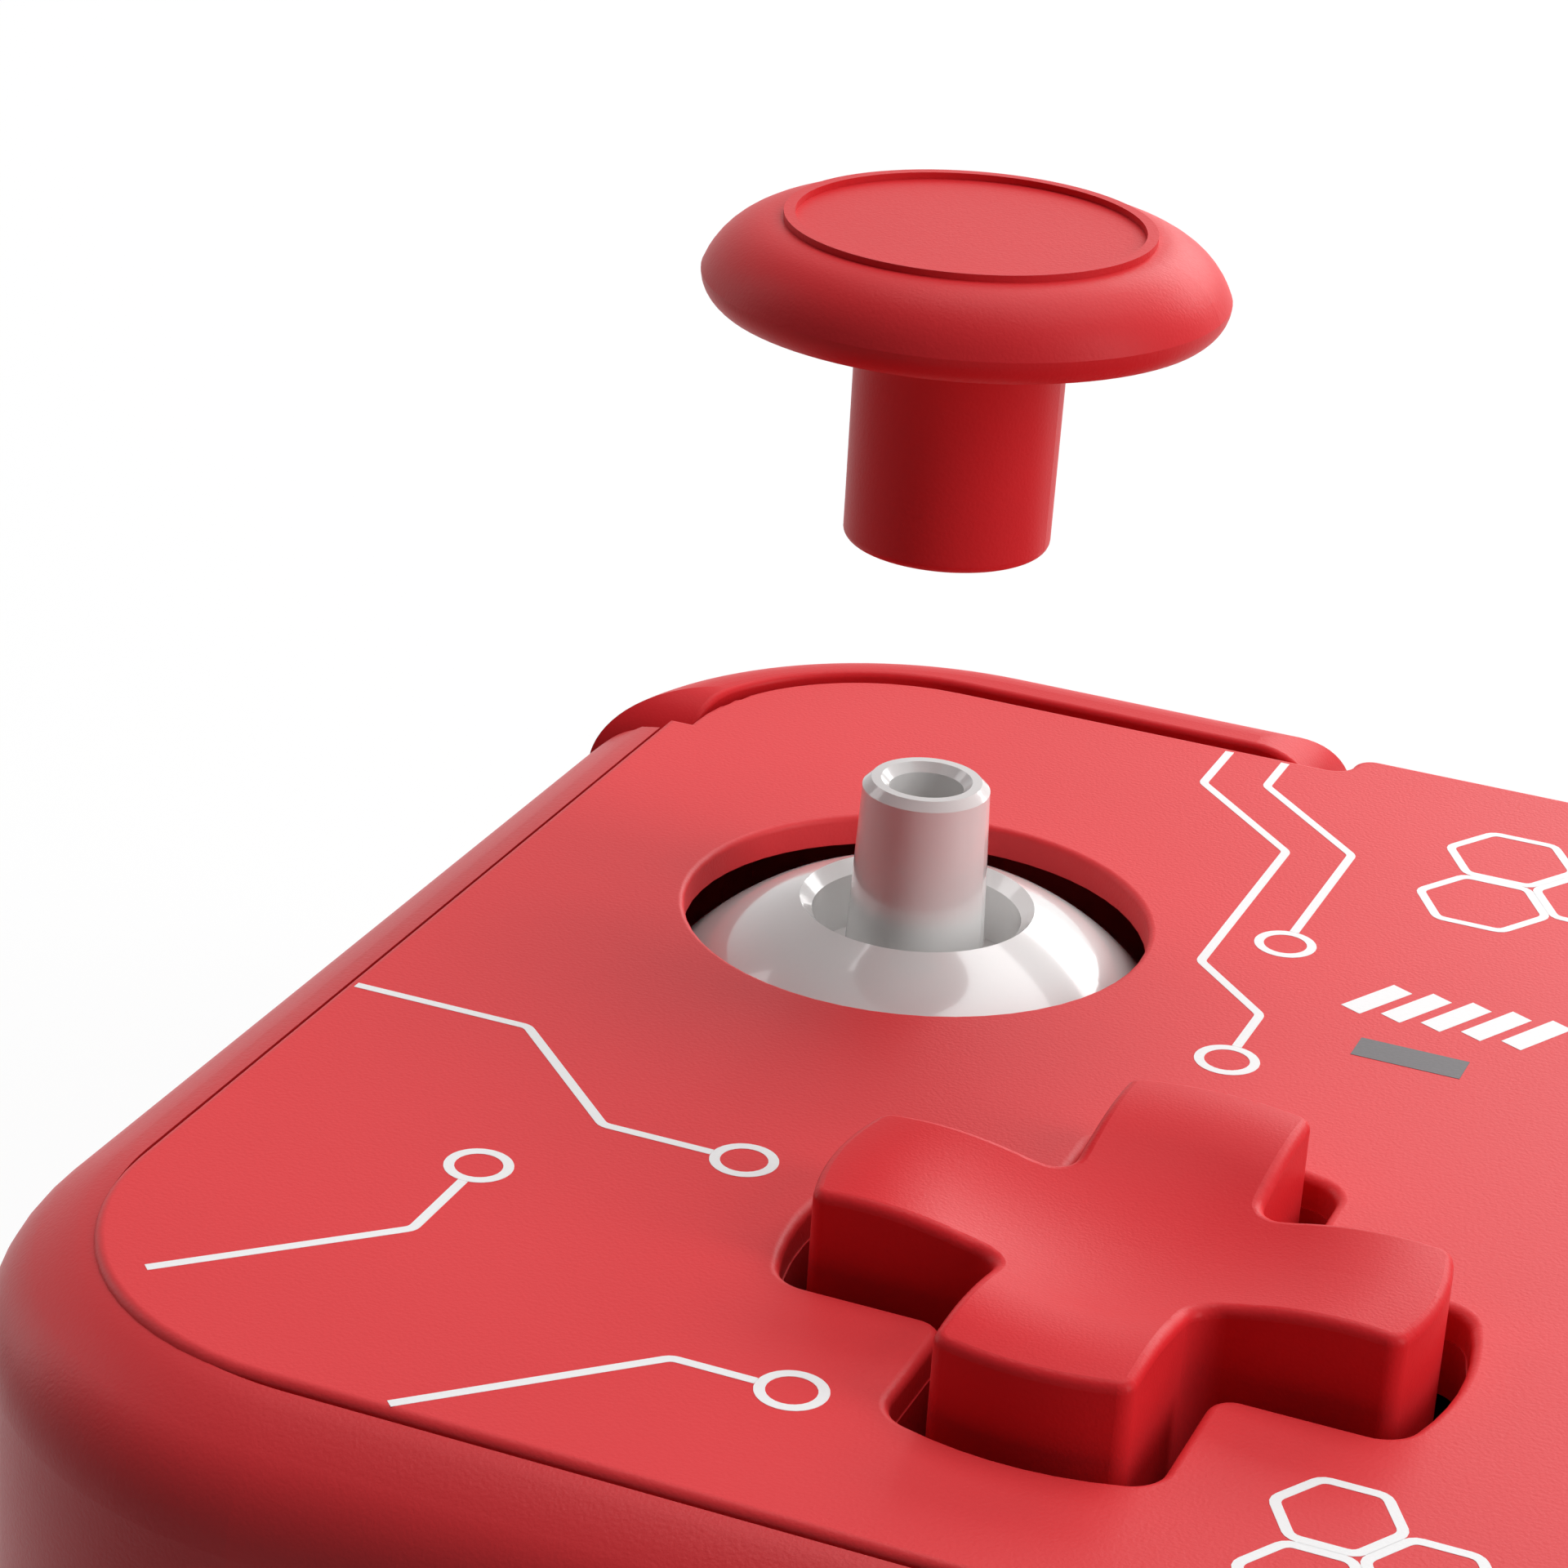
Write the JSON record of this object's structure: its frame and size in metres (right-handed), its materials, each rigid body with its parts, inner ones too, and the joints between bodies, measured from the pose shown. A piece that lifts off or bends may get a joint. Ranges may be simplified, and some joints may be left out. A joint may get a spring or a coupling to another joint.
{
  "type": "gamepad",
  "caption": "Flat slab gamepad with a thin faceplate, cross-shaped D-pad, domed thumbsticks with pull-off caps, corner bumpers and triggers.",
  "frame": {"origin": "middle of the flat back face, under the centre of the housing", "axes": "+X to the player's right, +Y away from the player towards the bumpers, +Z out of the faceplate"},
  "size_m": [0.148, 0.0746, 0.0509],
  "materials": {
    "plate_red": "soft-touch matte",
    "shell_red": "soft-touch matte",
    "key_red": "satin",
    "stick_white": "gloss",
    "dark_plastic": "matte",
    "steel": "plain",
    "socket_steel": "plain",
    "board_green": "solder mask",
    "battery_silver": "foil pouch",
    "rubber_grey": "matte"
  },
  "bodies": {
    "housing": {"back_shell": "shell_red", "battery": "battery_silver", "board_screws": "steel", "button_board": "board_green", "button_membrane": "rubber_grey", "case_screws": "steel", "dpad_membrane": "rubber_grey", "faceplate": "plate_red", "front_shell": "shell_red", "left_bumper_switch": "dark_plastic", "left_rumble_motor": "steel", "left_stick_frame": "dark_plastic", "left_stick_switch": "dark_plastic", "left_stick_x_sensor": "dark_plastic", "left_stick_y_sensor": "dark_plastic", "left_trigger_pin": "steel", "left_trigger_spring": "steel", "left_trigger_switch": "dark_plastic", "main_board": "board_green", "menu_membrane": "rubber_grey", "right_bumper_switch": "dark_plastic", "right_rumble_motor": "steel", "right_stick_frame": "dark_plastic", "right_stick_switch": "dark_plastic", "right_stick_x_sensor": "dark_plastic", "right_stick_y_sensor": "dark_plastic", "right_trigger_pin": "steel", "right_trigger_spring": "steel", "right_trigger_switch": "dark_plastic", "usb_port": "socket_steel"},
    "left_yoke": {"left_stick_lower_yoke": "dark_plastic"},
    "left_pin": {"left_stick_pivot_pin": "steel"},
    "left_stick": {"left_stick_lever": "steel", "left_stick_base": "stick_white"},
    "left_cap": {"left_stick_cap": "key_red"},
    "left_arch": {"left_stick_upper_yoke": "dark_plastic"},
    "left_bumper_key": {"left_bumper": "key_red"},
    "left_trigger_key": {"left_trigger": "key_red"},
    "left_weight": {"left_rumble_weight": "steel"},
    "right_yoke": {"right_stick_lower_yoke": "dark_plastic"},
    "right_pin": {"right_stick_pivot_pin": "steel"},
    "right_stick": {"right_stick_lever": "steel", "right_stick_base": "stick_white"},
    "right_cap": {"right_stick_cap": "key_red"},
    "right_arch": {"right_stick_upper_yoke": "dark_plastic"},
    "right_bumper_key": {"right_bumper": "key_red"},
    "right_trigger_key": {"right_trigger": "key_red"},
    "right_weight": {"right_rumble_weight": "steel"},
    "dpad_pivot": {"dpad_pivot_ball": "steel"},
    "dpad": {"dpad_rocker": "dark_plastic", "dpad_cross": "key_red"},
    "right_face_button_key": {"right_face_button": "key_red"},
    "back_face_button_key": {"back_face_button": "key_red"},
    "left_face_button_key": {"left_face_button": "key_red"},
    "front_face_button_key": {"front_face_button": "key_red"},
    "minus_button_key": {"minus_button": "key_red"},
    "plus_button_key": {"plus_button": "key_red"},
    "capture_button_key": {"capture_button": "key_red"},
    "home_button_key": {"home_button": "key_red"}
  },
  "joints": [
    {"name": "left_stick_pitch", "type": "hinge", "parent": "housing", "child": "left_yoke", "pos_m": [-0.0544, 0.00925, 0.0128], "axis": [1, 0, 0], "range_deg": [-16, 16], "stiffness_Nm_per_rad": 0.06},
    {"name": "left_stick_roll", "type": "hinge", "parent": "left_yoke", "child": "left_pin", "pos_m": [-0.0544, 0.00925, 0.0128], "axis": [0, 1, 0], "range_deg": [-16, 16], "stiffness_Nm_per_rad": 0.06},
    {"name": "left_stick_click", "type": "slide", "parent": "left_pin", "child": "left_stick", "axis": [0, 0, 1], "range_m": [-0.0005, 0], "stiffness_N_per_m": 3000},
    {"name": "left_cap_pull", "type": "slide", "parent": "left_stick", "child": "left_cap", "axis": [0, 0, 1], "range_m": [-0.017, 0]},
    {"name": "left_arch_roll", "type": "hinge", "parent": "housing", "child": "left_arch", "pos_m": [-0.0544, 0.00925, 0.0128], "axis": [0, 1, 0], "range_deg": [-17, 17]},
    {"name": "right_stick_pitch", "type": "hinge", "parent": "housing", "child": "right_yoke", "pos_m": [0.0382, -0.0146, 0.0128], "axis": [1, 0, 0], "range_deg": [-16, 16], "stiffness_Nm_per_rad": 0.06},
    {"name": "right_stick_roll", "type": "hinge", "parent": "right_yoke", "child": "right_pin", "pos_m": [0.0382, -0.0146, 0.0128], "axis": [0, 1, 0], "range_deg": [-16, 16], "stiffness_Nm_per_rad": 0.06},
    {"name": "right_stick_click", "type": "slide", "parent": "right_pin", "child": "right_stick", "axis": [0, 0, 1], "range_m": [-0.0005, 0], "stiffness_N_per_m": 3000},
    {"name": "right_cap_pull", "type": "slide", "parent": "right_stick", "child": "right_cap", "axis": [0, 0, 1], "range_m": [0, 0.017]},
    {"name": "right_arch_roll", "type": "hinge", "parent": "housing", "child": "right_arch", "pos_m": [0.0382, -0.0146, 0.0128], "axis": [0, 1, 0], "range_deg": [-17, 17]},
    {"name": "dpad_pitch", "type": "hinge", "parent": "housing", "child": "dpad_pivot", "pos_m": [-0.0382, -0.0146, 0.017], "axis": [1, 0, 0], "range_deg": [-5, 5], "stiffness_Nm_per_rad": 0.12, "deforming": ["dpad_membrane"]},
    {"name": "dpad_roll", "type": "hinge", "parent": "dpad_pivot", "child": "dpad", "pos_m": [-0.0382, -0.0146, 0.017], "axis": [0, 1, 0], "range_deg": [-5, 5], "stiffness_Nm_per_rad": 0.12, "deforming": ["dpad_membrane"]},
    {"name": "right_face_button_press", "type": "slide", "parent": "housing", "child": "right_face_button_key", "axis": [0, 0, 1], "range_m": [-0.0013, 0], "stiffness_N_per_m": 500, "deforming": ["button_membrane"]},
    {"name": "back_face_button_press", "type": "slide", "parent": "housing", "child": "back_face_button_key", "axis": [0, 0, 1], "range_m": [-0.0013, 0], "stiffness_N_per_m": 500, "deforming": ["button_membrane"]},
    {"name": "left_face_button_press", "type": "slide", "parent": "housing", "child": "left_face_button_key", "axis": [0, 0, 1], "range_m": [-0.0013, 0], "stiffness_N_per_m": 500, "deforming": ["button_membrane"]},
    {"name": "front_face_button_press", "type": "slide", "parent": "housing", "child": "front_face_button_key", "axis": [0, 0, 1], "range_m": [-0.0013, 0], "stiffness_N_per_m": 500, "deforming": ["button_membrane"]},
    {"name": "minus_button_press", "type": "slide", "parent": "housing", "child": "minus_button_key", "axis": [0, 0, 1], "range_m": [-0.0006, 0], "stiffness_N_per_m": 700, "deforming": ["menu_membrane"]},
    {"name": "plus_button_press", "type": "slide", "parent": "housing", "child": "plus_button_key", "axis": [0, 0, 1], "range_m": [-0.0006, 0], "stiffness_N_per_m": 700, "deforming": ["menu_membrane"]},
    {"name": "capture_button_press", "type": "slide", "parent": "housing", "child": "capture_button_key", "axis": [0, 0, 1], "range_m": [-0.0006, 0], "stiffness_N_per_m": 700, "deforming": ["menu_membrane"]},
    {"name": "home_button_press", "type": "slide", "parent": "housing", "child": "home_button_key", "axis": [0, 0, 1], "range_m": [-0.0006, 0], "stiffness_N_per_m": 700, "deforming": ["menu_membrane"]},
    {"name": "left_bumper_press", "type": "hinge", "parent": "housing", "child": "left_bumper_key", "pos_m": [-0.0464, 0.02835, 0.0198], "axis": [0, 0, 1], "range_deg": [0, 0.55], "stiffness_Nm_per_rad": 1.2},
    {"name": "left_trigger_pull", "type": "hinge", "parent": "housing", "child": "left_trigger_key", "pos_m": [-0.0557, 0.02755, 0.0156], "axis": [1, 0, 0], "range_deg": [-10, 0], "stiffness_Nm_per_rad": 0.1, "deforming": ["left_trigger_spring"]},
    {"name": "left_rumble_spin", "type": "hinge", "parent": "housing", "child": "left_weight", "pos_m": [-0.061, -0.01425, 0.007], "axis": [0, 1, 0], "continuous": true},
    {"name": "right_bumper_press", "type": "hinge", "parent": "housing", "child": "right_bumper_key", "pos_m": [0.0464, 0.02835, 0.0198], "axis": [0, 0, -1], "range_deg": [0, 0.55], "stiffness_Nm_per_rad": 1.2},
    {"name": "right_trigger_pull", "type": "hinge", "parent": "housing", "child": "right_trigger_key", "pos_m": [0.0557, 0.02755, 0.0156], "axis": [1, 0, 0], "range_deg": [-10, 0], "stiffness_Nm_per_rad": 0.1, "deforming": ["right_trigger_spring"]},
    {"name": "right_rumble_spin", "type": "hinge", "parent": "housing", "child": "right_weight", "pos_m": [0.061, -0.01425, 0.007], "axis": [0, 1, 0], "continuous": true}
  ],
  "couplings": [
    {"joint": "left_arch_roll", "follows": "left_stick_roll", "ratio": 1},
    {"joint": "right_arch_roll", "follows": "right_stick_roll", "ratio": 1}
  ]
}
